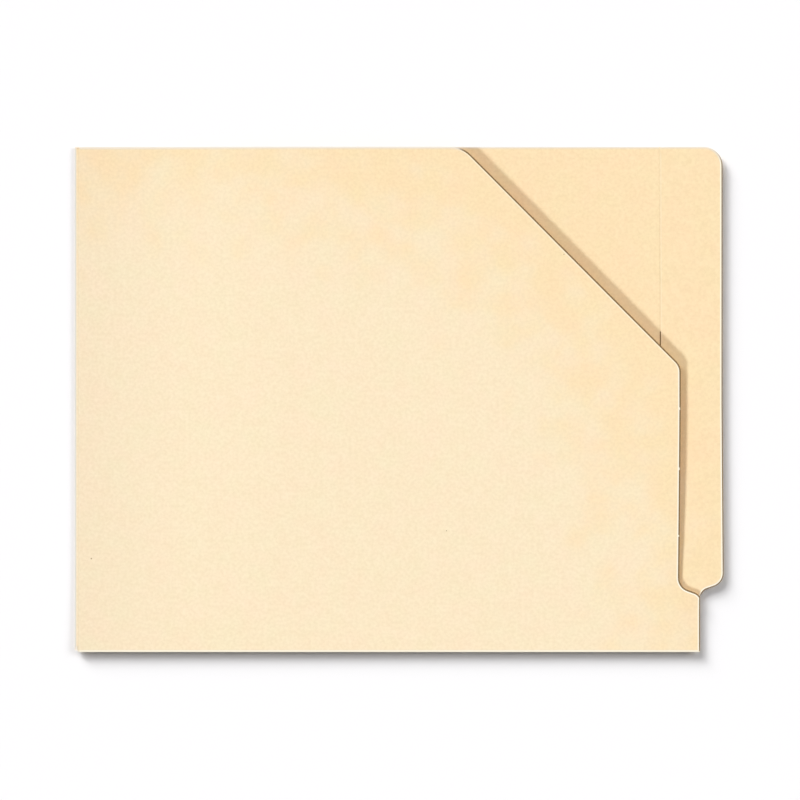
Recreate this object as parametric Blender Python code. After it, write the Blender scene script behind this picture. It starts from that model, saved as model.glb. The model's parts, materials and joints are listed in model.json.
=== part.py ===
"""A diagonal pocket folder, lying flat with its front panel up.

It is one die-cut blank of manila stock. The blank turns up at the bottom fold to make the front panel,
and over at the side fold to make a glue flap inside the left edge, so the pocket is open at the top and
at the right. The front panel's upper right corner is cut off on the diagonal. The back panel runs on to
the right as an end tab, with a second ply glued on to stiffen it.

Every sheet is drawn flat in u and v, which run right and up from the lower left corner of the body,
and each of its points is then lifted to its height over the table.
"""

import math

import bmesh
import bpy
from mathutils import Matrix, Vector

# Driving dimensions, in metres.

# The body, without the tab.
BODY_WIDTH = 0.29845
BODY_HEIGHT = 0.2413
CORNER_RADIUS = 0.0024

# The manila stock, the glue, and the air between two layers that lie on each other.
PAPER = 0.00028
GLUE = 0.00006
LAYER_GAP = 0.00004
# The stock can't turn over flat, so this much air stays under the glue flap.
FLAP_GAP = 0.0001
# Two sheets that run on into each other are this far apart, as separate pieces.
JOIN_GAP = 0.00005

# The end tab. Its edge leans out towards the foot, and ends there in an ogee down to a notch.
TAB_REACH = 0.0105
TAB_CORNER_RADIUS = 0.0086
TAB_SHOULDER = 0.0333
TAB_NOTCH = 0.0268
EDGE_LEAN = 0.0006
LEAN_LENGTH = 0.085
OGEE_SLOPE = math.radians(19.5)
OGEE_RADIUS = 0.0064
THROAT_REACH = 0.0015
THROAT_RADIUS = 0.0045

# The front panel: its cut edges, and the bend that its free corner opens on, from edge to edge.
SEAM_SETBACK = 0.0015
FRONT_SETBACK = 0.0091
FRONT_SHOULDER = 0.0310
FRONT_NOTCH = 0.0262
DIAGONAL_TOP = 0.1849
DIAGONAL_FOOT = 0.1368
DIAGONAL_TOP_RADIUS = 0.013
DIAGONAL_FOOT_RADIUS = 0.007
BEND_TOP = 0.0972
BEND_FOOT = 0.0491
BEND_GAP = 0.0003

# The glue flap inside the left edge.
FLAP_WIDTH = 0.0127
FLAP_TAPER = 0.006
FLAP_END = 0.0008
GLUE_MARGIN = 0.0025

# The second ply on the tab, from its left edge to the tab's own edge.
PLY_WIDTH = 0.0293
PLY_FOOT = 0.003

# How the stock springs: the pocket stands open, and the outer edges lift off the table.
POCKET_LIFT = 0.0055
SIDE_RISE = 0.090
FOLD_RISE = 0.110
FOLD_LIFT = 0.0020
SIDE_LIFT = 0.0010
LIFT_LENGTH = 0.060
TAB_TILT = math.radians(2.4)
TAB_BEND_WIDTH = 0.055

# Facets: the spacing of the cuts across a sheet, and the steps of an arc and of a fold.
SHEET_SPACING = 0.015
ARC_STEPS = 6
FOLD_STEPS = 8
# A point this close to a cut lies on it, and an edge that turns by more than the angle looks sharp.
CUT_REACH = 1e-7
SHARP_ANGLE = math.radians(40)

# Sizes that follow from these.
SEAM_GAP = FLAP_GAP + PAPER + LAYER_GAP + GLUE + LAYER_GAP
BOTTOM_FOLD_RADIUS = PAPER + SEAM_GAP / 2
SIDE_FOLD_RADIUS = PAPER + FLAP_GAP / 2
TAB_EDGE = BODY_WIDTH + TAB_REACH
PLY_EDGE = TAB_EDGE - PLY_WIDTH
FRONT_EDGE = BODY_WIDTH - FRONT_SETBACK
OVERALL_WIDTH = TAB_EDGE + EDGE_LEAN

MANILA = "FCE6C3"
MANILA_ROUGHNESS = 0.85
GLUE_COLOUR = "EFE3C8"
GLUE_ROUGHNESS = 0.5


def clear_scene():
    for obj in list(bpy.data.objects):
        bpy.data.objects.remove(obj, do_unlink=True)


def linear(hex_colour):
    """An sRGB hex colour as linear RGBA."""
    values = [int(hex_colour[i : i + 2], 16) / 255 for i in (0, 2, 4)]
    return [((v + 0.055) / 1.055) ** 2.4 if v > 0.04045 else v / 12.92 for v in values] + [1]


def material(name, hex_colour, roughness):
    made = bpy.data.materials.new(name)
    made.use_nodes = True
    shader = made.node_tree.nodes["Principled BSDF"]
    shader.inputs["Base Color"].default_value = linear(hex_colour)
    shader.inputs["Roughness"].default_value = roughness
    shader.inputs["Metallic"].default_value = 0
    return made


def smoothstep(share):
    share = min(max(share, 0), 1)
    return share * share * (3 - 2 * share)


def fold_lift(v):
    """How far the back panel lifts off the table towards the bottom fold."""
    return FOLD_LIFT * max(0, 1 - v / LIFT_LENGTH) ** 2


def side_lift(u):
    """How far it lifts towards the side fold, and with the tab, which is straight and tilts up."""
    side = SIDE_LIFT * max(0, 1 - u / LIFT_LENGTH) ** 2
    along = u - PLY_EDGE + TAB_BEND_WIDTH
    bent = min(max(along, 0), TAB_BEND_WIDTH)
    straight = max(along - TAB_BEND_WIDTH, 0)
    return side + math.tan(TAB_TILT) * (bent * bent / (2 * TAB_BEND_WIDTH) + straight)


def between_cuts(lift, distance):
    """A lift as the facets have it, straight from one cut across the sheet to the next.

    Layers that lie on each other then have the same facets, and keep their gap all over.
    """
    cut = math.floor(distance / SHEET_SPACING)
    share = distance / SHEET_SPACING - cut
    before = lift(cut * SHEET_SPACING)
    after = lift((cut + 1) * SHEET_SPACING)
    return before + share * (after - before)


def back_underside(u, v):
    """Height of the back panel's underside: flat on the table in the middle, with lifted edges."""
    return between_cuts(fold_lift, v) + between_cuts(side_lift, u)


def back_top(u, v):
    return back_underside(u, v) + PAPER


def pocket_gap(u, v):
    """Clear height between the back panel and the front panel."""
    from_seam = smoothstep((u - FLAP_WIDTH) / SIDE_RISE)
    from_fold = math.sin(math.pi / 2 * min(max(v - BOTTOM_FOLD_RADIUS, 0) / FOLD_RISE, 1))
    return SEAM_GAP + POCKET_LIFT * from_seam * from_fold


def front_underside(u, v):
    return back_top(u, v) + pocket_gap(u, v)


def flap_underside(u, v):
    return back_top(u, v) + FLAP_GAP


def flap_glue_underside(u, v):
    return flap_underside(u, v) + PAPER + LAYER_GAP


def ply_glue_underside(u, v):
    return back_top(u, v) + LAYER_GAP


def ply_underside(u, v):
    return ply_glue_underside(u, v) + GLUE + LAYER_GAP


def rounded(corners):
    """The points of a closed outline, from (u, v, radius) corners in anticlockwise order."""
    points = []
    for index, (u, v, radius) in enumerate(corners):
        corner = Vector((u, v))
        if radius == 0:
            points.append(corner)
            continue
        back = (Vector(corners[index - 1][:2]) - corner).normalized()
        on = (Vector(corners[(index + 1) % len(corners)][:2]) - corner).normalized()
        half_angle = back.angle(on) / 2
        tangent = radius / math.tan(half_angle)
        centre = corner + (back + on).normalized() * radius / math.sin(half_angle)
        start = corner + back * tangent - centre
        end = corner + on * tangent - centre
        sweep = -start.angle_signed(end)
        for step in range(ARC_STEPS + 1):
            points.append(centre + Matrix.Rotation(sweep * step / ARC_STEPS, 2) @ start)
    return points


def ogee(side, edge, shoulder, notch):
    """Corners from the notch up to a cut edge, which lies to one side of the body's right edge."""
    slope = math.tan(OGEE_SLOPE)
    throat = shoulder - slope * (abs(edge - BODY_WIDTH) - THROAT_REACH)
    return [
        (BODY_WIDTH, notch, 0),
        (BODY_WIDTH + side * THROAT_REACH, throat, THROAT_RADIUS),
        (edge, shoulder, OGEE_RADIUS),
        (edge - side * EDGE_LEAN, shoulder + LEAN_LENGTH, 0),
    ]


def tab_corners():
    """Corners of the tab's edge, from the notch up to the top."""
    foot = ogee(1, TAB_EDGE + EDGE_LEAN, TAB_SHOULDER, TAB_NOTCH)
    return foot + [(TAB_EDGE, BODY_HEIGHT, TAB_CORNER_RADIUS)]


def finish_mesh(shell, thickness):
    """Thickens an open surface upwards, or outwards from a fold, and makes it a mesh."""
    bmesh.ops.solidify(shell, geom=shell.faces[:], thickness=-thickness)
    bmesh.ops.recalc_face_normals(shell, faces=shell.faces[:])
    bmesh.ops.triangulate(shell, faces=shell.faces[:])
    mesh = bpy.data.meshes.new("sheet")
    shell.to_mesh(mesh)
    shell.free()
    mesh.shade_smooth()
    mesh.set_sharp_from_angle(angle=SHARP_ANGLE)
    return mesh


def sheet_mesh(outline, underside, thickness, cut=None):
    """A sheet cut to an outline, shaped to its height and thickened upwards.

    cut is a (point, normal) line: the sheet beyond it, on the normal's side, is taken away.
    """
    shell = bmesh.new()
    loop = [shell.verts.new((u, v, 0)) for u, v in outline]
    edges = [shell.edges.new((loop[i - 1], loop[i])) for i in range(len(loop))]
    bmesh.ops.edgeloop_fill(shell, edges=edges)

    def cut_along(point, normal, clear):
        everything = shell.verts[:] + shell.edges[:] + shell.faces[:]
        bmesh.ops.bisect_plane(
            shell,
            geom=everything,
            dist=CUT_REACH,
            plane_co=Vector(point).to_3d(),
            plane_no=Vector(normal).to_3d(),
            clear_outer=clear,
        )

    if cut:
        cut_along(*cut, True)
    for index in range(1, math.ceil(OVERALL_WIDTH / SHEET_SPACING)):
        cut_along((index * SHEET_SPACING, 0), (1, 0), False)
    for index in range(1, math.ceil(BODY_HEIGHT / SHEET_SPACING)):
        cut_along((0, index * SHEET_SPACING), (0, 1), False)
    bmesh.ops.triangulate(shell, faces=shell.faces[:])
    for vert in shell.verts:
        vert.co.z = underside(vert.co.x, vert.co.y)
    for face in shell.faces:
        if face.normal.z < 0:
            face.normal_flip()
    shell.normal_update()
    return finish_mesh(shell, thickness)


def fold_mesh(length, place, radius):
    """A half-round fold of the stock along its length, inside the given outer radius.

    place turns (distance along, distance in from the outer edge) and a height share into a point.
    """
    shell = bmesh.new()
    stations = math.ceil(length / SHEET_SPACING)
    bmesh.ops.create_grid(shell, x_segments=stations, y_segments=FOLD_STEPS, size=0.5)
    inner = radius - PAPER
    for vert in shell.verts:
        along = (vert.co.x + 0.5) * length
        angle = vert.co.y * math.pi
        vert.co = place(along, radius - inner * math.cos(angle), inner * math.sin(angle))
    shell.normal_update()
    return finish_mesh(shell, PAPER)


def add(name, mesh, collection, parent, finish):
    mesh.name = name
    mesh.materials.append(finish)
    obj = bpy.data.objects.new(name, mesh)
    obj.parent = parent
    collection.objects.link(obj)
    return obj


def back_panel_mesh():
    corners = [
        (SIDE_FOLD_RADIUS + JOIN_GAP, BOTTOM_FOLD_RADIUS + JOIN_GAP, CORNER_RADIUS),
        (BODY_WIDTH, BOTTOM_FOLD_RADIUS + JOIN_GAP, 0),
        *tab_corners(),
        (SIDE_FOLD_RADIUS + JOIN_GAP, BODY_HEIGHT, 0),
    ]
    return sheet_mesh(rounded(corners), back_underside, PAPER)


def ply_corners(margin):
    """Corners of the second ply, or of the glue under it, which stays a margin inside the ply."""
    left, foot, top = PLY_EDGE + margin, PLY_FOOT + margin, BODY_HEIGHT - margin
    if margin == 0:
        return [(left, foot, 0), (BODY_WIDTH, foot, 0), *tab_corners(), (left, top, 0)]
    return [
        (left, foot, 0),
        (BODY_WIDTH - margin, foot, 0),
        (BODY_WIDTH - margin, TAB_SHOULDER + margin, 0),
        (TAB_EDGE - margin, TAB_SHOULDER + OGEE_RADIUS + margin, 0),
        (TAB_EDGE - margin, top, TAB_CORNER_RADIUS),
        (left, top, 0),
    ]


def side_flap_mesh():
    inner = SIDE_FOLD_RADIUS + JOIN_GAP
    foot = CORNER_RADIUS + FLAP_END
    top = BODY_HEIGHT - FLAP_END
    corners = [
        (inner, foot, 0),
        (FLAP_WIDTH, foot + FLAP_TAPER, 0),
        (FLAP_WIDTH, top - FLAP_TAPER, 0),
        (inner, top, 0),
    ]
    return sheet_mesh(rounded(corners), flap_underside, PAPER)


def flap_glue_mesh():
    left = SEAM_SETBACK + GLUE_MARGIN
    right = FLAP_WIDTH - GLUE_MARGIN
    foot = CORNER_RADIUS + FLAP_END + FLAP_TAPER + GLUE_MARGIN
    top = BODY_HEIGHT - FLAP_END - FLAP_TAPER - GLUE_MARGIN
    corners = [(left, foot, 0), (right, foot, 0), (right, top, 0), (left, top, 0)]
    return sheet_mesh(rounded(corners), flap_glue_underside, GLUE)


def front_outline():
    corners = [
        (SEAM_SETBACK, BOTTOM_FOLD_RADIUS + JOIN_GAP, CORNER_RADIUS),
        (BODY_WIDTH, BOTTOM_FOLD_RADIUS + JOIN_GAP, 0),
        *ogee(-1, FRONT_EDGE - EDGE_LEAN, FRONT_SHOULDER, FRONT_NOTCH),
        (FRONT_EDGE, DIAGONAL_FOOT, DIAGONAL_FOOT_RADIUS),
        (DIAGONAL_TOP, BODY_HEIGHT, DIAGONAL_TOP_RADIUS),
        (SEAM_SETBACK, BODY_HEIGHT, 0),
    ]
    return rounded(corners)


def bend_line():
    """The bend's middle point and the direction across it, out to the diagonal cut."""
    top = Vector((BEND_TOP, BODY_HEIGHT))
    foot = Vector((FRONT_EDGE, BEND_FOOT))
    across = (foot - top).orthogonal().normalized()
    return (top + foot) / 2, across


def bottom_fold_mesh():
    def place(along, inwards, height):
        u = CORNER_RADIUS + along
        middle = back_underside(u, BOTTOM_FOLD_RADIUS) + BOTTOM_FOLD_RADIUS
        return Vector((u, inwards, middle + height))

    return fold_mesh(BODY_WIDTH - CORNER_RADIUS, place, BOTTOM_FOLD_RADIUS)


def side_fold_mesh():
    def place(along, inwards, height):
        v = CORNER_RADIUS + FLAP_END + along
        middle = back_underside(SIDE_FOLD_RADIUS, v) + SIDE_FOLD_RADIUS
        return Vector((inwards, v, middle - height))

    return fold_mesh(BODY_HEIGHT - CORNER_RADIUS - 2 * FLAP_END, place, SIDE_FOLD_RADIUS)


def build():
    clear_scene()
    collection = bpy.data.collections.new("diagonal_pocket_folder")
    bpy.context.scene.collection.children.link(collection)

    # The folder's empty stands at the body's lower left corner, with the origin under the middle.
    folder = bpy.data.objects.new("folder", None)
    folder.location = (-OVERALL_WIDTH / 2, -BODY_HEIGHT / 2, 0)
    collection.objects.link(folder)

    # The bend's empty has its X axis along the bend, on the front panel's upper face.
    middle, across = bend_line()
    bend = bpy.data.objects.new("front_bend", None)
    bend.parent = folder
    bend.location = (*middle, front_underside(*middle) + PAPER)
    bend.rotation_euler.z = math.atan2(-across.x, across.y)
    collection.objects.link(bend)

    def stock():
        return material("manila stock", MANILA, MANILA_ROUGHNESS)

    def glue():
        return material("dried glue", GLUE_COLOUR, GLUE_ROUGHNESS)

    add("back_panel", back_panel_mesh(), collection, folder, stock())
    ply = sheet_mesh(rounded(ply_corners(0)), ply_underside, PAPER)
    add("tab_reinforcement", ply, collection, folder, stock())
    ply_glue = sheet_mesh(rounded(ply_corners(GLUE_MARGIN)), ply_glue_underside, GLUE)
    add("tab_glue", ply_glue, collection, folder, glue())
    add("bottom_fold", bottom_fold_mesh(), collection, folder, stock())
    add("side_fold", side_fold_mesh(), collection, folder, stock())
    add("side_flap", side_flap_mesh(), collection, folder, stock())
    add("seam_glue", flap_glue_mesh(), collection, folder, glue())

    half_gap = across * BEND_GAP / 2
    held = sheet_mesh(front_outline(), front_underside, PAPER, (middle - half_gap, across))
    add("front_panel", held, collection, folder, stock())
    free = sheet_mesh(front_outline(), front_underside, PAPER, (middle + half_gap, -across))
    corner = add("front_free_corner", free, collection, bend, stock())
    corner.matrix_parent_inverse = bend.matrix_basis.inverted()


build()
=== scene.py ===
"""The looks of a diagonal pocket folder of manila card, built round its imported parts.

Each sheet is cut flat, in u and v, which run right and up from the body's lower left corner, and is then
folded up into place, as the real blank is. Lengths are in metres.
"""

import json
import math

import bmesh
import bpy
from mathutils import Matrix, Vector
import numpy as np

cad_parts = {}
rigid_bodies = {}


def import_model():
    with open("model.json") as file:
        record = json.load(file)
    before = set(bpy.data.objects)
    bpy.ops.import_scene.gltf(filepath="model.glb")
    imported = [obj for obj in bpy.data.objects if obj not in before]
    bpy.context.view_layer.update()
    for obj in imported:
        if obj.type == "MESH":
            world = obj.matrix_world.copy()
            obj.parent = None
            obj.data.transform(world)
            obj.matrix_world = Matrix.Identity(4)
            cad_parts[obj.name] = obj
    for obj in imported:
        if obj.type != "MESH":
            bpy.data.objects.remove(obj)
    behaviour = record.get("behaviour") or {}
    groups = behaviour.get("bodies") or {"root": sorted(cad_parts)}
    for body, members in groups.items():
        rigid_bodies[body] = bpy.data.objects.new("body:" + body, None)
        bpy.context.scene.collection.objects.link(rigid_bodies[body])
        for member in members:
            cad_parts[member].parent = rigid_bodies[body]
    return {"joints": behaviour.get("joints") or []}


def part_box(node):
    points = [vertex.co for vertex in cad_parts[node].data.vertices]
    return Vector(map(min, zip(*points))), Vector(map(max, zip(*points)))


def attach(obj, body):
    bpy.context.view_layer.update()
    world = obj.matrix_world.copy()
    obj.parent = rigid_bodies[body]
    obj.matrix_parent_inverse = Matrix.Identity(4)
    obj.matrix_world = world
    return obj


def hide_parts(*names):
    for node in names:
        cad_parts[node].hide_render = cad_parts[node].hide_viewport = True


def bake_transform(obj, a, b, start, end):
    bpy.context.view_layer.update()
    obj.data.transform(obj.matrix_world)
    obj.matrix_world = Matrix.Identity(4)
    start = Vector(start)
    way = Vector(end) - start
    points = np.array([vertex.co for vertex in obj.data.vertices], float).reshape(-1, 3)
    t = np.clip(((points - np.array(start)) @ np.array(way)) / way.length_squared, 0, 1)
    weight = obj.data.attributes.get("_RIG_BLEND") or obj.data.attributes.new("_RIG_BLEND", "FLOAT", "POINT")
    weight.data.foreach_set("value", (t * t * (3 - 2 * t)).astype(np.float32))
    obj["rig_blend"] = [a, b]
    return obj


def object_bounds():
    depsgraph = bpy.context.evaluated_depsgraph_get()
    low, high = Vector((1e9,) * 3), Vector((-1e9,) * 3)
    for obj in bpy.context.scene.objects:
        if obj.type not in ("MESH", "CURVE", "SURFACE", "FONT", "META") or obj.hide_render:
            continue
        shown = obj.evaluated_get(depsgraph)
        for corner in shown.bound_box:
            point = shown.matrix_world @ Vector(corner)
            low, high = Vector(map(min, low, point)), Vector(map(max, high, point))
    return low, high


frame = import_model()
cad_low, cad_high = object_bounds()


# Back panel with its end tab, side fold and glue flap.
# One stretch of the die-cut blank, of manila card 0.28 mm thick. The panel lies on the table with its edges
# sprung up, runs on to the right as the tab, and turns over at the left into the flap inside the pocket.

LEFT = cad_low.x
FOOT = cad_low.y
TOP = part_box("back_panel")[1].y - FOOT
BODY_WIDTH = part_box("front_panel")[1].x - LEFT
BOTTOM_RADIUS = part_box("bottom_fold")[1].y - FOOT
SIDE_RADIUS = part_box("side_fold")[1].x - LEFT
STOCK = 0.00028
FLAP_GAP = 2 * (SIDE_RADIUS - STOCK)
SIDE_ARC = math.pi * (SIDE_RADIUS - STOCK / 2)

FLAP_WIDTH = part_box("side_flap")[1].x - LEFT
FLAP_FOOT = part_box("side_flap")[0].y - FOOT
FLAP_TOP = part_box("side_flap")[1].y - FOOT
FLAP_TAPER = 0.006
CORNER_RADIUS = 0.0017
# The bottom fold starts to the right of the rounded lower left corner.
FOLD_START = SIDE_RADIUS + CORNER_RADIUS - BOTTOM_RADIUS

# Above its ogee, a cut edge leans this far towards the body's right edge, over this length.
EDGE_LEAN = 0.0006
LEAN_LENGTH = 0.085
TAB_FOOT_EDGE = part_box("back_panel")[1].x - LEFT
TAB_EDGE = TAB_FOOT_EDGE - EDGE_LEAN
TAB_CORNER_RADIUS = 0.0086
TAB_SHOULDER = 0.0333
TAB_NOTCH = 0.0268
OGEE_SLOPE = math.tan(math.radians(19.5))
OGEE_RADIUS = 0.0064
THROAT_REACH = 0.0015
THROAT_RADIUS = 0.0045

# How far the edges are sprung up: at the two folds, and at the right by a bend just to the left of the ply.
PLY_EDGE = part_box("tab_reinforcement")[0].x - LEFT
FOLD_LIFT = 0.0020
SIDE_LIFT = 0.0010
LIFT_LENGTH = 0.060
TAB_TILT = math.tan(math.radians(2.4))
TAB_BEND_WIDTH = 0.055


def smoothstep(share):
    """A rise from 0 to 1 that starts and ends level."""
    share = min(max(share, 0), 1)
    return share * share * (3 - 2 * share)


def lift(u, v):
    """Height of the back panel's underside: flat on the table in the middle, with its edges sprung up."""
    near_fold = max(0, 1 - v / LIFT_LENGTH) ** 2
    near_side = max(0, 1 - u / LIFT_LENGTH) ** 2
    along = u - PLY_EDGE + TAB_BEND_WIDTH
    bent = min(max(along, 0), TAB_BEND_WIDTH)
    straight = max(along - TAB_BEND_WIDTH, 0)
    sides = SIDE_LIFT * near_side + TAB_TILT * (bent * bent / (2 * TAB_BEND_WIDTH) + straight)
    return sides + (FOLD_LIFT - sides) * near_fold


ARC_STEP = math.radians(9)


def rounded(corners):
    """The points of a closed outline, from (u, v, radius) corners in anticlockwise order."""
    points = []
    for index, (u, v, radius) in enumerate(corners):
        corner = Vector((u, v))
        if radius == 0:
            points.append(corner)
            continue
        back = (Vector(corners[index - 1][:2]) - corner).normalized()
        on = (Vector(corners[(index + 1) % len(corners)][:2]) - corner).normalized()
        half_angle = back.angle(on) / 2
        tangent = radius / math.tan(half_angle)
        centre = corner + (back + on).normalized() * radius / math.sin(half_angle)
        start = corner + back * tangent - centre
        end = corner + on * tangent - centre
        sweep = -start.angle_signed(end)
        steps = math.ceil(abs(sweep) / ARC_STEP)
        for step in range(steps + 1):
            points.append(centre + Matrix.Rotation(sweep * step / steps, 2) @ start)
    return points


def ogee(side, edge, shoulder, notch):
    """Corners from the notch up to a cut edge, which lies to one side of the body's right edge."""
    throat = shoulder - OGEE_SLOPE * (abs(edge - BODY_WIDTH) - THROAT_REACH)
    return [
        (BODY_WIDTH, notch, 0),
        (BODY_WIDTH + side * THROAT_REACH, throat, THROAT_RADIUS),
        (edge, shoulder, OGEE_RADIUS),
        (edge - side * EDGE_LEAN, shoulder + LEAN_LENGTH, 0),
    ]


# The steel rule's cut, as rings round the sheet: how far in from the outline, how high as a share of the
# stock, and how strongly its rim is painted. The rule crushes the cut to a slope, and a narrow band behind
# it is painted pale, for worn fibres and as a painted highlight.
KNIFE_CUT = [
    (-0.00040, 0, 0),
    (0.00008, 0.8, 0.8),
    (0.00014, 1, 1),
    (0.00055, 1, 1),
    (0.00085, 1, 0),
]
# Points that are closer than this count as one.
SNAP = 0.00001

# Kinds of edge, as shares: its slope, the strength of its painted rim, and how far it is die-cut rather than
# trimmed, which picks a pale rim, for worn fibres and as a painted highlight, or a greyish one, as painted
# shade. A joined edge is no edge of the blank, which runs on there into the next sheet, so it stands square.
# A trimmed edge's rim is painted greyish this strongly, as painted shade.
TRIM_SHADE = 0.35
JOINED = (0, 0, 0)
PLAIN = (1, 0, 0)
TRIMMED = (1, TRIM_SHADE, 0)


def die_cut(share, wear_and_light=1, slope=1):
    """A kind of edge from a trimmed one, at a share of 0, to one that the steel rule cut, at 1."""
    return (slope, TRIM_SHADE + (wear_and_light - TRIM_SHADE) * share, share)


def inset(outline, distance):
    """A closed outline moved inwards by a distance."""
    moved = []
    for index, point in enumerate(outline):
        before = (point - outline[index - 1]).orthogonal().normalized()
        after = (outline[(index + 1) % len(outline)] - point).orthogonal().normalized()
        moved.append(point + (before + after) * distance / (1 + before.dot(after)))
    return moved


# Places of a sheet's materials.
CARD_FACE, CARD_CORE = 0, 1


def cut_flat(outline, rings, thickness, u_cuts, v_cuts, edge_kind):
    """A flat sheet, divided along u and v so that it can bend.

    edge_kind gives the kind of edge at a point of the outline. An edge with a painted rim shows the core
    material on its slope: painted dark, for the bared core and as painted shade, where die-cut, and greyish,
    as painted shade, where trimmed.
    """
    sheet = bmesh.new()
    wear_and_light = sheet.verts.layers.float.new("edge_wear_and_light")
    die_cut_data = sheet.verts.layers.float.new("edge_cut_share")
    kinds = [edge_kind(*point) for point in outline]
    loops = []
    for ring, (distance, height, worn) in enumerate(rings):
        loop = []
        for point, moved, kind in zip(outline, inset(outline, distance), kinds):
            slope, wear_and_light_share, cut_share = kind
            place, level = moved, height
            if ring == 0:
                place = point.lerp(moved, slope)
            elif ring == 1 and kind == JOINED:
                place, level = point, 1
            vert = sheet.verts.new((place.x, place.y, level * thickness))
            vert[wear_and_light] = worn * wear_and_light_share
            vert[die_cut_data] = cut_share
            loop.append(vert)
        loops.append(loop)
    for ring, (low, high) in enumerate(zip(loops, loops[1:])):
        for i, kind in enumerate(kinds):
            face = sheet.faces.new((low[i - 1], low[i], high[i], high[i - 1]))
            rimmed_edge = kind[1] > 0 and kinds[i - 1][1] > 0
            face.material_index = CARD_CORE if ring == 0 and rimmed_edge else CARD_FACE
    sheet.faces.new(loops[-1])
    sheet.faces.new(loops[0][::-1])
    planes = [((u, 0, 0), (1, 0, 0)) for u in u_cuts] + [((0, v, 0), (0, 1, 0)) for v in v_cuts]
    for point, normal in planes:
        everything = sheet.verts[:] + sheet.edges[:] + sheet.faces[:]
        bmesh.ops.bisect_plane(sheet, geom=everything, dist=SNAP, plane_co=point, plane_no=normal)
    return sheet


DIVISION = 0.0035


def divided(start, end):
    """Evenly spaced places for a sheet's divisions, between start and end."""
    count = math.ceil((end - start) / DIVISION)
    return [start + (end - start) * i / count for i in range(1, count)]


# An edge that turns more than this is drawn sharp.
SHARP_ANGLE = math.radians(35)
PATTERN_STEP = 0.1
folder_pieces = bpy.data.collections.new("folder_pieces")


def make_piece(name, sheet, place, materials):
    """Folds a flat sheet up, with place giving the point for u, v and the height in the sheet.

    The card's own pattern stays on the flat sheet, and no two sheets are cut from the same spot.
    """
    flat = sheet.verts.layers.float_vector.new("flat_place")
    spot = PATTERN_STEP * len(folder_pieces.objects)
    for vert in sheet.verts:
        vert[flat] = vert.co + Vector((0, 0, spot))
        vert.co = place(*vert.co)
    mesh = bpy.data.meshes.new(name)
    sheet.to_mesh(mesh)
    sheet.free()
    mesh.shade_smooth()
    mesh.set_sharp_from_angle(angle=SHARP_ANGLE)
    for material in materials:
        mesh.materials.append(material)
    piece = bpy.data.objects.new(name, mesh)
    bpy.context.scene.collection.objects.link(piece)
    folder_pieces.objects.link(piece)
    return piece


def linear(hex_colour):
    """An sRGB hex colour as linear RGBA."""
    values = [int(hex_colour[i : i + 2], 16) / 255 for i in (0, 2, 4)]
    return [((v + 0.055) / 1.055) ** 2.4 if v > 0.04045 else v / 12.92 for v in values] + [1]


def add_node(tree, kind, inputs, **settings):
    """Adds a node with its settings. An input takes a value, or another node's output as a link."""
    node = tree.nodes.new(kind)
    for name, value in settings.items():
        setattr(node, name, value)
    for key, value in inputs.items():
        if isinstance(value, bpy.types.NodeSocket):
            tree.links.new(value, node.inputs[key])
        else:
            node.inputs[key].default_value = value
    return node


# Places of a colour Mix node's sockets.
FACTOR, COLOUR_A, COLOUR_B, MIXED = 0, 6, 7, 2

# Manila card, calendered between steel rolls: matt, cloudy where the pulp set unevenly, finely mottled by
# its fibres, with a few bark flecks. It has yellowed in patches from the open top and the tab inwards, and
# is a little darker towards the left. Along the die-cut edges it is painted pale, for worn fibres and as a
# painted highlight, and along the crease as a painted highlight. Along the other edges it is painted
# greyish, as painted shade.
PAPER_IOR = 1.5
MANILA_ROUGHNESS = 0.82
MANILA_PALE = "FDEBCB"
MANILA_YELLOWED = "FEE5BB"
# The pale rim colour stands for worn fibres and is also a painted highlight. The greyish rim colour is
# painted shade.
MANILA_WORN_AND_HIGHLIGHT = "FFF7E4"
MANILA_EDGE_SHADE = "E1DDD2"
MANILA_LEFT_TINT = "FBFBFC"
CLEAN = "FFFFFF"
CLOUD_ROSY = "FFFCFD"
CLOUD_GREEN = "FCFEFC"
BLOTCH_DEEP = "FEFDFB"
FIBRE_DARK = "F8F6F3"
FLECK_BROWN = "A58C63"

# The yellowing starts and ends at these distances from the place that was sheltered best, give or take half
# of its wander, which is drawn in patches.
SHELTERED_PLACE = (0.062, 0.012, 0)
YELLOW_START = 0.175
YELLOW_END = 0.255
YELLOW_WANDER = 0.14
PATCH_SIZE = 0.012
PATCH_DETAIL = 4
# The card is painted a little darker towards the left, fading out over this width.
LEFT_TINT_WIDTH = 0.055

CLOUD_SIZE = 0.016
BLOTCH_SIZE = 0.006
# Real fibres are about 0.03 mm wide. Their clumps and their relief are drawn as coarse as it takes to show.
FIBRE_CLUMP = 0.0015
FIBRE_WIDTH = 0.0004
FIBRE_DEPTH = 0.00002
FIBRE_RELIEF = 0.5

# Nearly all of a noise pattern's values lie between these.
NOISE_LOW = 0.3
NOISE_HIGH = 0.7

# Each bark fleck's place and radius.
FLECKS = [(0.0074, 0.0447, 0.00045), (0.1773, 0.0581, 0.00030), (0.2334, 0.1902, 0.00030)]

manila = bpy.data.materials.new("manila_card_calendered")
manila.use_nodes = True
tree = manila.node_tree
place = add_node(tree, "ShaderNodeAttribute", {}, attribute_name="flat_place").outputs["Vector"]
on_sheet = add_node(tree, "ShaderNodeVectorMath", {0: place, 1: (1, 1, 0)}, operation="MULTIPLY")
on_sheet = on_sheet.outputs["Vector"]

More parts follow.
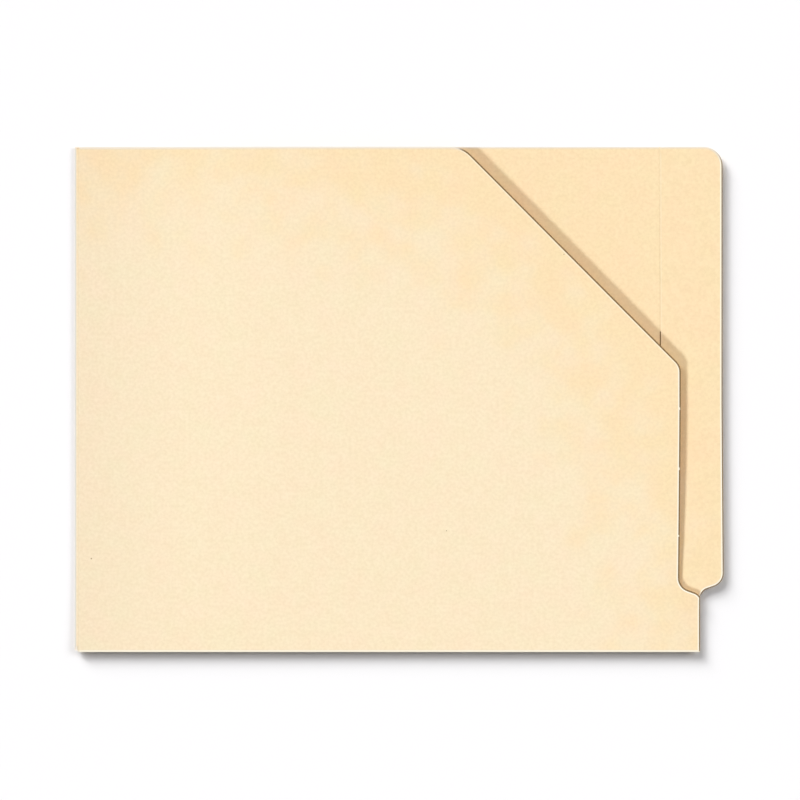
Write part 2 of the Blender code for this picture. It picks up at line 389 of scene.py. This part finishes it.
shelter = add_node(tree, "ShaderNodeVectorMath", {0: on_sheet, 1: SHELTERED_PLACE}, operation="DISTANCE")
patches = add_node(
    tree, "ShaderNodeTexNoise", {"Vector": place, "Scale": 1 / PATCH_SIZE, "Detail": PATCH_DETAIL}
)
wander = add_node(
    tree,
    "ShaderNodeMapRange",
    {"Value": patches.outputs[0], "To Min": -YELLOW_WANDER / 2, "To Max": YELLOW_WANDER / 2},
)
exposure = add_node(
    tree, "ShaderNodeMath", {0: shelter.outputs["Value"], 1: wander.outputs[0]}, operation="ADD"
)
yellowed = add_node(
    tree,
    "ShaderNodeMapRange",
    {"Value": exposure.outputs[0], "From Min": YELLOW_START, "From Max": YELLOW_END},
    interpolation_type="SMOOTHSTEP",
)
tone = add_node(
    tree,
    "ShaderNodeMix",
    {FACTOR: yellowed.outputs[0], COLOUR_A: linear(MANILA_PALE), COLOUR_B: linear(MANILA_YELLOWED)},
    data_type="RGBA",
)

across = add_node(tree, "ShaderNodeSeparateXYZ", {"Vector": place})
toward_left = add_node(tree, "ShaderNodeMapRange", {"Value": across.outputs["X"], "From Max": LEFT_TINT_WIDTH})
tints = [(toward_left, MANILA_LEFT_TINT, CLEAN)]
for size, one, other in (
    (CLOUD_SIZE, CLOUD_ROSY, CLOUD_GREEN),
    (BLOTCH_SIZE, BLOTCH_DEEP, CLEAN),
    (FIBRE_CLUMP, FIBRE_DARK, CLEAN),
):
    pattern = add_node(tree, "ShaderNodeTexNoise", {"Vector": place, "Scale": 1 / size})
    spread = add_node(
        tree,
        "ShaderNodeMapRange",
        {"Value": pattern.outputs[0], "From Min": NOISE_LOW, "From Max": NOISE_HIGH},
    )
    tints.append((spread, one, other))
colour = tone.outputs[MIXED]
for spread, one, other in tints:
    tint = add_node(
        tree,
        "ShaderNodeMix",
        {FACTOR: spread.outputs[0], COLOUR_A: linear(one), COLOUR_B: linear(other)},
        data_type="RGBA",
    )
    tinted = add_node(
        tree,
        "ShaderNodeMix",
        {FACTOR: 1, COLOUR_A: colour, COLOUR_B: tint.outputs[MIXED]},
        data_type="RGBA",
        blend_type="MULTIPLY",
    )
    colour = tinted.outputs[MIXED]

for u, v, radius in FLECKS:
    away = add_node(tree, "ShaderNodeVectorMath", {0: on_sheet, 1: (u, v, 0)}, operation="DISTANCE")
    fleck = add_node(
        tree,
        "ShaderNodeMapRange",
        {"Value": away.outputs["Value"], "From Min": radius, "From Max": radius / 2},
    )
    flecked = add_node(
        tree,
        "ShaderNodeMix",
        {FACTOR: fleck.outputs[0], COLOUR_A: colour, COLOUR_B: linear(FLECK_BROWN)},
        data_type="RGBA",
    )
    colour = flecked.outputs[MIXED]

die_cut_data = add_node(tree, "ShaderNodeAttribute", {}, attribute_name="edge_cut_share")
rim = add_node(
    tree,
    "ShaderNodeMix",
    {FACTOR: die_cut_data.outputs["Fac"], COLOUR_A: linear(MANILA_EDGE_SHADE), COLOUR_B: linear(MANILA_WORN_AND_HIGHLIGHT)},
    data_type="RGBA",
)
wear_and_light = add_node(tree, "ShaderNodeAttribute", {}, attribute_name="edge_wear_and_light")
worn = add_node(
    tree,
    "ShaderNodeMix",
    {FACTOR: wear_and_light.outputs["Fac"], COLOUR_A: colour, COLOUR_B: rim.outputs[MIXED]},
    data_type="RGBA",
)
grain = add_node(tree, "ShaderNodeTexNoise", {"Vector": place, "Scale": 1 / FIBRE_WIDTH})
relief = add_node(
    tree,
    "ShaderNodeBump",
    {"Strength": FIBRE_RELIEF, "Distance": FIBRE_DEPTH, "Height": grain.outputs[0]},
)
shader = tree.nodes["Principled BSDF"]
shader.inputs["Roughness"].default_value = MANILA_ROUGHNESS
shader.inputs["IOR"].default_value = PAPER_IOR
tree.links.new(worn.outputs[MIXED], shader.inputs["Base Color"])
tree.links.new(relief.outputs["Normal"], shader.inputs["Normal"])

# The card's edge, very matt and streaked along its layers. Where the steel rule cut it, it is painted dark
# brown, for the bared core and as painted shade along the cut. Where the edge was trimmed by a guillotine,
# it is painted a pale grey, as painted shade. Real layers of fibre are finer than these streaks, which are
# drawn as coarse as it takes to show.
CORE_AND_SHADE_LIGHT = "94794F"
CORE_AND_SHADE_DARK = "6F5738"
TRIMMED_EDGE_SHADE = "F3EBDF"
CORE_ROUGHNESS = 0.95
STREAK_LENGTH = 0.0015
STREAKS_IN_STOCK = 5

core = bpy.data.materials.new("manila_core_and_painted_edge_shade")
core.use_nodes = True
tree = core.node_tree
place = add_node(tree, "ShaderNodeAttribute", {}, attribute_name="flat_place").outputs["Vector"]
layers = (1 / STREAK_LENGTH, 1 / STREAK_LENGTH, STREAKS_IN_STOCK / STOCK)
along = add_node(tree, "ShaderNodeVectorMath", {0: place, 1: layers}, operation="MULTIPLY")
streaks = add_node(tree, "ShaderNodeTexNoise", {"Vector": along.outputs["Vector"], "Scale": 1})
bared_and_shaded = add_node(
    tree,
    "ShaderNodeMix",
    {FACTOR: streaks.outputs[0], COLOUR_A: linear(CORE_AND_SHADE_DARK), COLOUR_B: linear(CORE_AND_SHADE_LIGHT)},
    data_type="RGBA",
)
die_cut_data = add_node(tree, "ShaderNodeAttribute", {}, attribute_name="edge_cut_share")
edge = add_node(
    tree,
    "ShaderNodeMix",
    {FACTOR: die_cut_data.outputs["Fac"], COLOUR_A: linear(TRIMMED_EDGE_SHADE), COLOUR_B: bared_and_shaded.outputs[MIXED]},
    data_type="RGBA",
)
shader = tree.nodes["Principled BSDF"]
shader.inputs["Roughness"].default_value = CORE_ROUGHNESS
shader.inputs["IOR"].default_value = PAPER_IOR
tree.links.new(edge.outputs[MIXED], shader.inputs["Base Color"])

tab_corners = [
    *ogee(1, TAB_FOOT_EDGE, TAB_SHOULDER, TAB_NOTCH),
    (TAB_EDGE, TOP, TAB_CORNER_RADIUS),
]
flap_end = SIDE_RADIUS - SIDE_ARC - (FLAP_WIDTH - SIDE_RADIUS)
# A cut edge's painted rim, for worn fibres and as a painted highlight, fades in over this length, next to a
# fold or a plain edge.
WEAR_START = 0.0013
back_corners = [
    (BODY_WIDTH, BOTTOM_RADIUS, 0),
    (BODY_WIDTH, BOTTOM_RADIUS + WEAR_START, 0),
    *tab_corners,
    (SIDE_RADIUS, TOP, 0),
    (SIDE_RADIUS, FLAP_TOP, 0),
    (SIDE_RADIUS - SIDE_ARC, FLAP_TOP, 0),
    (flap_end, FLAP_TOP - FLAP_TAPER, 0),
    (flap_end, FLAP_FOOT + FLAP_TAPER, 0),
    (SIDE_RADIUS - SIDE_ARC, FLAP_FOOT, 0),
    (SIDE_RADIUS, FLAP_FOOT, 0),
    (SIDE_RADIUS, BOTTOM_RADIUS, CORNER_RADIUS - BOTTOM_RADIUS),
]
FOLD_STEPS = 8
# The side fold bulges out this far, and is painted greyish on the outside, as painted shade, between these
# steps of its turn.
SIDE_BULGE = 0.0005
FOLD_SHADE = (3, 7)
# The share of the other cuts' slope that the body's right edge has below the notch.
BODY_EDGE_SLOPE = 0.3


def tab_side_edge(v):
    """The edge that the back panel shares with the tab's ply: steeper below the tab than round it."""
    slope = BODY_EDGE_SLOPE if v < TAB_NOTCH + SNAP else 1
    return die_cut(smoothstep((TOP - v) / TAB_CORNER_RADIUS), slope=slope)


def back_edge(u, v):
    """The bottom edge runs on into the bottom fold, and the side fold and the flap were trimmed."""
    if v < BOTTOM_RADIUS + SNAP and u > FOLD_START - SNAP:
        return JOINED
    if u < FOLD_START:
        return TRIMMED
    return tab_side_edge(v)


def back_place(u, v, height):
    """A point of the panel, of the fold to the left of it, or of the flap that lies over the panel."""
    along = SIDE_RADIUS - u
    if along <= 0:
        return Vector((LEFT + u, FOOT + v, lift(u, v) + height))
    if along < SIDE_ARC:
        angle = math.pi * along / SIDE_ARC
        radius = SIDE_RADIUS - height
        across = SIDE_RADIUS - radius * (1 + SIDE_BULGE / SIDE_RADIUS) * math.sin(angle)
        middle = lift(SIDE_RADIUS, v) + SIDE_RADIUS
        return Vector((LEFT + across, FOOT + v, middle - radius * math.cos(angle)))
    across = SIDE_RADIUS + along - SIDE_ARC
    folded = lift(across, v) + 2 * STOCK + FLAP_GAP - height
    return Vector((LEFT + across, FOOT + v, folded))


side_fold_cuts = [SIDE_RADIUS - SIDE_ARC * i / FOLD_STEPS for i in range(FOLD_STEPS + 1)]
back_sheet = cut_flat(
    rounded(back_corners),
    KNIFE_CUT,
    STOCK,
    divided(flap_end, SIDE_RADIUS - SIDE_ARC) + side_fold_cuts + divided(SIDE_RADIUS, TAB_FOOT_EDGE),
    divided(0, TOP),
    back_edge,
)
back_rim_paint = back_sheet.verts.layers.float["edge_wear_and_light"]
# The outside of the side fold is painted greyish between those steps, as painted shade.
shade_start, shade_end = (side_fold_cuts[step] for step in FOLD_SHADE)
for vert in back_sheet.verts:
    if shade_end - SNAP < vert.co.x < shade_start + SNAP and vert.co.z < STOCK / 2:
        vert[back_rim_paint] = 1
back = make_piece("back_sheet", back_sheet, back_place, [manila, core])
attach(back, "pocket")
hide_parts("back_panel", "side_fold", "side_flap")


# Tab glue.
# A thin film of white glue, rolled on between the tab and the ply that stiffens it, and dried hard.

GLUE = 0.00006
LAYER_GAP = 0.00004
GLUE_MARGIN = 0.0025
GLUE_CORNER = 0.0015
# The film's edge, as rings like those of the steel rule's cut.
GLUE_EDGE = [(0, 0, 0), (0.00003, 1, 0)]

# White glue, dried: a clear yellowish film with the faint streaks of the roller, glossier than the card.
GLUE_CLEAR = "F1E6CC"
GLUE_THICK = "E4D4AE"
GLUE_ROUGHNESS = 0.4
GLUE_IOR = 1.47
ROLLER_STREAK_WIDTH = 0.0012
ROLLER_STREAK_LENGTH = 0.012

glue = bpy.data.materials.new("white_glue_dried_film")
glue.use_nodes = True
tree = glue.node_tree
place = add_node(tree, "ShaderNodeAttribute", {}, attribute_name="flat_place").outputs["Vector"]
rolled = (1 / ROLLER_STREAK_WIDTH, 1 / ROLLER_STREAK_LENGTH, 0)
along = add_node(tree, "ShaderNodeVectorMath", {0: place, 1: rolled}, operation="MULTIPLY")
streaks = add_node(tree, "ShaderNodeTexNoise", {"Vector": along.outputs["Vector"], "Scale": 1})
film = add_node(
    tree,
    "ShaderNodeMix",
    {FACTOR: streaks.outputs[0], COLOUR_A: linear(GLUE_CLEAR), COLOUR_B: linear(GLUE_THICK)},
    data_type="RGBA",
)
shader = tree.nodes["Principled BSDF"]
shader.inputs["Roughness"].default_value = GLUE_ROUGHNESS
shader.inputs["IOR"].default_value = GLUE_IOR
tree.links.new(film.outputs[MIXED], shader.inputs["Base Color"])

PLY_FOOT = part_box("tab_reinforcement")[0].y - FOOT
tab_glue_corners = [
    (PLY_EDGE + GLUE_MARGIN, PLY_FOOT + GLUE_MARGIN, GLUE_CORNER),
    (BODY_WIDTH - GLUE_MARGIN, PLY_FOOT + GLUE_MARGIN, GLUE_CORNER),
    (BODY_WIDTH - GLUE_MARGIN, TAB_SHOULDER + GLUE_MARGIN, 0),
    (TAB_EDGE - GLUE_MARGIN, TAB_SHOULDER + OGEE_RADIUS + GLUE_MARGIN, GLUE_CORNER),
    (TAB_EDGE - GLUE_MARGIN, TOP - GLUE_MARGIN, TAB_CORNER_RADIUS),
    (PLY_EDGE + GLUE_MARGIN, TOP - GLUE_MARGIN, GLUE_CORNER),
]


def on_back(u, v, height):
    """A point of what is glued on the back panel, at a height over the panel's upper face."""
    return Vector((LEFT + u, FOOT + v, lift(u, v) + STOCK + height))


def tab_glue_place(u, v, height):
    return on_back(u, v, LAYER_GAP + height)


def glue_edge(u, v):
    return PLAIN


glue_sheet = cut_flat(
    rounded(tab_glue_corners), GLUE_EDGE, GLUE, divided(PLY_EDGE, TAB_EDGE), divided(0, TOP), glue_edge
)
tab_glue = make_piece("tab_glue_film", glue_sheet, tab_glue_place, [glue])
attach(tab_glue, "pocket")
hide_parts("tab_glue")


# Tab reinforcement.
# A second, narrow ply of the same card, glued to the tab side before the blank is cut, so that it shares
# the tab's outline. Its left edge shows as a fine line on the back panel, with a painted highlight beside
# it. Where the front panel's shadow falls across it, a short stretch of it is painted dark, as painted
# shade.

# The short stretch of the ply's left edge that is painted dark, as painted shade, lies between these
# heights.
SHADED_TICK_FOOT = 0.1462
SHADED_TICK_TOP = 0.1534
# The ply's left edge lies this far to the right at the foot of the dark stretch, and leans this far to
# the left from there to the top.
PLY_SHIFT = 0.0002
PLY_LEAN = 0.0004
# How pale the painted highlight beside the ply's left edge is.
PLY_HIGHLIGHT = 0.17


def ply_left(v):
    """The ply's left edge at a height on the sheet."""
    return PLY_EDGE + PLY_SHIFT - PLY_LEAN * (v - SHADED_TICK_FOOT) / (TOP - SHADED_TICK_FOOT)


def ply_edge(u, v):
    """Only the top and the right side were cut with the blank."""
    if u < BODY_WIDTH - SNAP and v < TOP - SNAP:
        return PLAIN
    return tab_side_edge(v)


def ply_place(u, v, height):
    return on_back(u, v, 2 * LAYER_GAP + GLUE + height)


ply_corners = [
    (ply_left(PLY_FOOT), PLY_FOOT, 0),
    (BODY_WIDTH, PLY_FOOT, 0),
    *tab_corners,
    (ply_left(TOP), TOP, 0),
    (ply_left(TOP - WEAR_START), TOP - WEAR_START, 0),
]
ply_sheet = cut_flat(
    rounded(ply_corners),
    KNIFE_CUT,
    STOCK,
    divided(PLY_EDGE, TAB_FOOT_EDGE),
    divided(0, TOP) + [SHADED_TICK_FOOT, SHADED_TICK_TOP],
    ply_edge,
)
ply_rim_paint = ply_sheet.verts.layers.float["edge_wear_and_light"]
ply_cut_share = ply_sheet.verts.layers.float["edge_cut_share"]
rim_start = KNIFE_CUT[2][0] - SNAP
rim_end = KNIFE_CUT[3][0] + SNAP
rim_top = TOP - WEAR_START - SNAP
# A band just behind the ply's left edge is painted pale, as a painted highlight.
for vert in ply_sheet.verts:
    if rim_start < vert.co.x - ply_left(vert.co.y) < rim_end and vert.co.y < rim_top:
        vert[ply_rim_paint] = PLY_HIGHLIGHT
        vert[ply_cut_share] = 1
# The slope of the ply's left edge in the dark stretch gets the core's dark colour, as painted shade.
for face in ply_sheet.faces:
    middle = face.calc_center_median()
    if middle.x < ply_left(middle.y) and SHADED_TICK_FOOT < middle.y < SHADED_TICK_TOP:
        face.material_index = CARD_CORE
        for vert in face.verts:
            vert[ply_cut_share] = 1
ply = make_piece("tab_ply", ply_sheet, ply_place, [manila, core])
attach(ply, "pocket")
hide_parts("tab_reinforcement")


# Seam glue.
# A stripe of the same white glue on the flap, which holds the front panel down along its left edge.

FRONT_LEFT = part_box("front_panel")[0].x - LEFT
seam_glue_foot = FLAP_FOOT + FLAP_TAPER + GLUE_MARGIN
seam_glue_top = FLAP_TOP - FLAP_TAPER - GLUE_MARGIN
seam_glue_corners = [
    (FRONT_LEFT + GLUE_MARGIN, seam_glue_foot, GLUE_CORNER),
    (FLAP_WIDTH - GLUE_MARGIN, seam_glue_foot, GLUE_CORNER),
    (FLAP_WIDTH - GLUE_MARGIN, seam_glue_top, GLUE_CORNER),
    (FRONT_LEFT + GLUE_MARGIN, seam_glue_top, GLUE_CORNER),
]


def seam_glue_place(u, v, height):
    return on_back(u, v, FLAP_GAP + STOCK + LAYER_GAP + height)


glue_sheet = cut_flat(
    rounded(seam_glue_corners), GLUE_EDGE, GLUE, divided(0, FLAP_WIDTH), divided(0, TOP), glue_edge
)
seam_glue = make_piece("seam_glue_stripe", glue_sheet, seam_glue_place, [glue])
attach(seam_glue, "pocket")
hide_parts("seam_glue")


# Front panel with the bottom fold and its free corner.
# The rest of the blank: it turns up at the bottom crease, is glued down at the left, and is cut off on the
# diagonal. The card springs open there, and the corner bends away when it is lifted.

# The cut slopes more than the tab's: it lies this much further in, with its foot this far from the outline.
# The upright edge stops this far short of the solid's.
# The wider slope shows more of the cut's dark colour, which is partly painted shade.
FRONT_CUT_IN = 0.0003
FRONT_CUT_FOOT = -0.0003
FRONT_SHORT = 0.0005
FRONT_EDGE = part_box("front_free_corner")[1].x - LEFT - FRONT_SHORT
FRONT_SHOULDER = 0.0310
FRONT_NOTCH = 0.0262
# The diagonal runs from this far along the top down to this high on the upright edge.
DIAGONAL_TOP = 0.1849
DIAGONAL_FOOT = 0.1368
DIAGONAL_TOP_RADIUS = 0.013
DIAGONAL_FOOT_RADIUS = 0.007
# Below the trimmed top, the rim turns into a die-cut one over this length. The diagonal's pale rim, for worn
# fibres and as a painted highlight, is weaker than the upright edge's.
DIAGONAL_FADE = 0.0015
DIAGONAL_WEAR_AND_HIGHLIGHT = 0.45

SEAM_GAP = 2 * (BOTTOM_RADIUS - STOCK)
POCKET_LIFT = 0.0055
SIDE_RISE = 0.090
FOLD_RISE = 0.110
# The heel, which is the panel's right end below the notch, and the height over which it comes up.
HEEL_WIDTH = 0.010
HEEL_TOP = 0.029
HEEL_FADE = 0.010
BOTTOM_ARC = math.pi * (BOTTOM_RADIUS - STOCK / 2)
fold_end = BOTTOM_RADIUS - BOTTOM_ARC


def pocket_gap(u, v):
    """Clear height between the back panel and the front panel, whose heel below the notch lies down."""
    from_seam = smoothstep((u - FLAP_WIDTH) / SIDE_RISE)
    from_fold = math.sin(math.pi / 2 * min(max(v - BOTTOM_RADIUS, 0) / FOLD_RISE, 1))
    in_heel = smoothstep((u - BODY_WIDTH) / HEEL_WIDTH + 1)
    above_heel = smoothstep((v - HEEL_TOP) / HEEL_FADE + 1)
    return SEAM_GAP + POCKET_LIFT * from_seam * from_fold * (1 - in_heel * (1 - above_heel))


def front_edge(u, v):
    """The fold runs on into the back panel, and the left edge, over the flap, gets no painted rim."""
    if v < fold_end + SNAP:
        return JOINED
    if u < FRONT_LEFT + SNAP and v < TOP - SNAP:
        return PLAIN
    on_diagonal = smoothstep(1 / 2 + (v - DIAGONAL_FOOT) / DIAGONAL_FOOT_RADIUS)
    wear_and_light = 1 - (1 - DIAGONAL_WEAR_AND_HIGHLIGHT) * on_diagonal
    slope = BODY_EDGE_SLOPE if v < FRONT_NOTCH + SNAP else 1
    return die_cut(smoothstep((TOP - v) / DIAGONAL_FADE), wear_and_light, slope)


def front_place(u, v, height):
    """A point of the panel, or of the fold below it."""
    along = BOTTOM_RADIUS - v
    if along <= 0:
        return on_back(u, v, pocket_gap(u, v) + height)
    angle = math.pi * along / BOTTOM_ARC
    radius = BOTTOM_RADIUS - STOCK + height
    middle = lift(u, BOTTOM_RADIUS) + BOTTOM_RADIUS
    across = BOTTOM_RADIUS - radius * math.sin(angle)
    return Vector((LEFT + u, FOOT + across, middle + radius * math.cos(angle)))


front_corners = [
    (FOLD_START, fold_end, 0),
    (BODY_WIDTH, fold_end, 0),
    (BODY_WIDTH, fold_end + WEAR_START, 0),
    *ogee(-1, FRONT_EDGE - EDGE_LEAN, FRONT_SHOULDER, FRONT_NOTCH),
    (FRONT_EDGE, DIAGONAL_FOOT, DIAGONAL_FOOT_RADIUS),
    (DIAGONAL_TOP, TOP, DIAGONAL_TOP_RADIUS),
    (FRONT_LEFT, TOP, 0),
    (FRONT_LEFT, TOP - WEAR_START, 0),
    (FRONT_LEFT, BOTTOM_RADIUS, 0),
]

# The crease's band, painted pale as a painted highlight, from half way round the fold up to the first of
# these cuts across the panel, and faded out at the second.
CREASE_CUTS = (0.0002, 0.0006, 0.0013)
CREASE_HIGHLIGHT = 0.8
crease_start = fold_end + BOTTOM_ARC / 2 + SNAP
crease_end = BOTTOM_RADIUS + CREASE_CUTS[0] + SNAP
crease_cuts = [BOTTOM_RADIUS - BOTTOM_ARC * i / FOLD_STEPS for i in range(FOLD_STEPS)]
crease_cuts += [BOTTOM_RADIUS + distance for distance in CREASE_CUTS]
front_cut = [(distance + FRONT_CUT_IN, height, worn) for distance, height, worn in KNIFE_CUT]
front_cut[0] = (FRONT_CUT_FOOT, 0, 0)
front_sheet = cut_flat(
    rounded(front_corners),
    front_cut,
    STOCK,
    divided(0, BODY_WIDTH),
    crease_cuts + divided(CREASE_CUTS[-1] + BOTTOM_RADIUS, TOP),
    front_edge,
)
front_rim_paint = front_sheet.verts.layers.float["edge_wear_and_light"]
front_cut_share = front_sheet.verts.layers.float["edge_cut_share"]
# The crease's band is painted pale on the card's outer face, as a painted highlight.
for vert in front_sheet.verts:
    if crease_start < vert.co.y < crease_end and vert.co.z > STOCK / 2:
        vert[front_rim_paint] = CREASE_HIGHLIGHT
        vert[front_cut_share] = 1
front = make_piece("front_sheet", front_sheet, front_place, [manila, core])

# The card bends over a band on either side of the joint's axis.
BEND_IN = 0.012
BEND_OUT = 0.045
bend = frame["joints"][0]
bend_middle = Vector(bend["pos_m"])
across_bend = Vector((0, 0, 1)).cross(Vector(bend["axis"]))
bend_start = bend_middle - across_bend * BEND_IN
bend_end = bend_middle + across_bend * BEND_OUT
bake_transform(front, "pocket", "free_corner", start=bend_start, end=bend_end)
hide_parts("bottom_fold", "front_panel", "front_free_corner")


# Nick stubs.
# Torn ends of the three bridges that held the blank in its sheet while it was die-cut, left standing on
# the front panel's edge: soft, pale, bare fibres.

STUB_REACH = 0.0005
STUB_OVERLAP = 0.0006
# Each stub's middle and its length, along the edge.
STUBS = [(0.1165, 0.0014), (0.0878, 0.0014), (0.0557, 0.0010)]
# The torn edge, as rings like those of the steel rule's cut, but worn all over.
TORN_EDGE = [(0, 0, 1), (0.00008, 0.7, 1), (0.0002, 1, 1)]


def torn_edge(u, v):
    return die_cut(1)


for number, (middle, length) in enumerate(STUBS, 1):
    edge = FRONT_EDGE - FRONT_CUT_IN
    edge -= EDGE_LEAN * min(max(1 - (middle - FRONT_SHOULDER) / LEAN_LENGTH, 0), 1)
    stub_corners = [
        (edge - STUB_OVERLAP, middle - length / 2, 0),
        (edge, middle - length / 2, 0),
        (edge + STUB_REACH, middle - length / 3, 0),
        (edge + STUB_REACH / 2, middle, 0),
        (edge + STUB_REACH, middle + length / 4, 0),
        (edge, middle + length / 2, 0),
        (edge - STUB_OVERLAP, middle + length / 2, 0),
    ]
    # A torn edge is as pale as the faces beside it, so it shows no brown core.
    stub_sheet = cut_flat(rounded(stub_corners), TORN_EDGE, STOCK, [], [], torn_edge)
    stub = make_piece(f"nick_stub_{number}", stub_sheet, front_place, [manila, manila])
    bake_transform(stub, "pocket", "free_corner", start=bend_start, end=bend_end)


# Floor.
# A wide sheet of white background paper under the folder. It isn't part of the object.

FLOOR_SIZE = 40
FLOOR_DROP = 0.00005
FLOOR_WHITE = "E7E6E7"

backdrop = bpy.data.materials.new("white_background_paper")
backdrop.use_nodes = True
shader = backdrop.node_tree.nodes["Principled BSDF"]
shader.inputs["Base Color"].default_value = linear(FLOOR_WHITE)
shader.inputs["Roughness"].default_value = 1
shader.inputs["Specular IOR Level"].default_value = 0

floor_mesh = bpy.data.meshes.new("floor")
plane = bmesh.new()
bmesh.ops.create_grid(plane, x_segments=1, y_segments=1, size=FLOOR_SIZE / 2)
plane.to_mesh(floor_mesh)
plane.free()
floor_mesh.materials.append(backdrop)
floor = bpy.data.objects.new("floor", floor_mesh)
floor.location.z = -FLOOR_DROP
bpy.context.scene.collection.objects.link(floor)


# Light.
# On the folder, a cool key light from the lower left throws the shadow of the front panel's edge on the
# back panel, warm light comes back from the upper right, and a weak fill comes from the upper left. On the
# floor, low, broad lamps from the upper left, the top and the right throw the folder's soft shadow.

floor_only = bpy.data.collections.new("floor_only")
floor_only.objects.link(floor)


def lamp(name, shares, bearing, elevation, width, lights_only):
    """A distant lamp that lights one collection of objects.

    It has its shares of the light on a level surface, in red, green and blue, and a bearing from +X, an
    elevation and a width in degrees.
    """
    light = bpy.data.lights.new(name, "SUN")
    brightest = max(shares)
    light.energy = brightest * math.pi / math.sin(math.radians(elevation))
    light.color = [share / brightest for share in shares]
    light.angle = math.radians(width)
    made = bpy.data.objects.new(name, light)
    made.rotation_euler = (0, math.radians(90 - elevation), math.radians(bearing))
    made.light_linking.receiver_collection = lights_only
    bpy.context.scene.collection.objects.link(made)


lamp("key", (0.335, 0.365, 0.385), 226, 47.7, 11, folder_pieces)
lamp("bounce", (0.32, 0.29, 0.26), 40, 50, 30, folder_pieces)
lamp("fill", (0.14, 0.14, 0.14), 135, 50, 16, folder_pieces)
lamp("floor_low", (0.23, 0.23, 0.23), 127, 18, 18, floor_only)
lamp("floor_left", (0.28, 0.28, 0.28), 134, 28, 26, floor_only)
lamp("floor_top", (0.25, 0.25, 0.25), 110, 28, 26, floor_only)
lamp("floor_right", (0.26, 0.26, 0.26), 22, 34, 34, floor_only)

# The studio's walls look white, and give off this much of that as light.
STUDIO_WHITE = "FFFFFF"
AMBIENT = 0.24
world = bpy.data.worlds.new("white_studio")
bpy.context.scene.world = world
world.use_nodes = True
tree = world.node_tree
rays = add_node(tree, "ShaderNodeLightPath", {})
seen = rays.outputs["Is Camera Ray"]
for kind in ("Is Glossy Ray", "Is Transmission Ray"):
    either = add_node(tree, "ShaderNodeMath", {0: seen, 1: rays.outputs[kind]}, operation="MAXIMUM")
    seen = either.outputs[0]
strength = add_node(tree, "ShaderNodeMapRange", {"Value": seen, "To Min": AMBIENT, "To Max": 1})
background = tree.nodes["Background"]
background.inputs["Color"].default_value = linear(STUDIO_WHITE)
tree.links.new(strength.outputs[0], background.inputs["Strength"])


# Camera, straight above the folder, with a long lens that leaves no perspective.

CAMERA_HEIGHT = 3
CAMERA_X = 0.0003
CAMERA_Y = -0.00007
FIELD = 0.3830
SENSOR = 36

camera_data = bpy.data.cameras.new("camera")
camera_data.sensor_width = SENSOR
camera_data.lens = SENSOR * CAMERA_HEIGHT / FIELD
camera = bpy.data.objects.new("camera", camera_data)
camera.location = (CAMERA_X, CAMERA_Y, CAMERA_HEIGHT)
bpy.context.scene.collection.objects.link(camera)
bpy.context.scene.camera = camera
bpy.context.scene.view_settings.view_transform = "Standard"
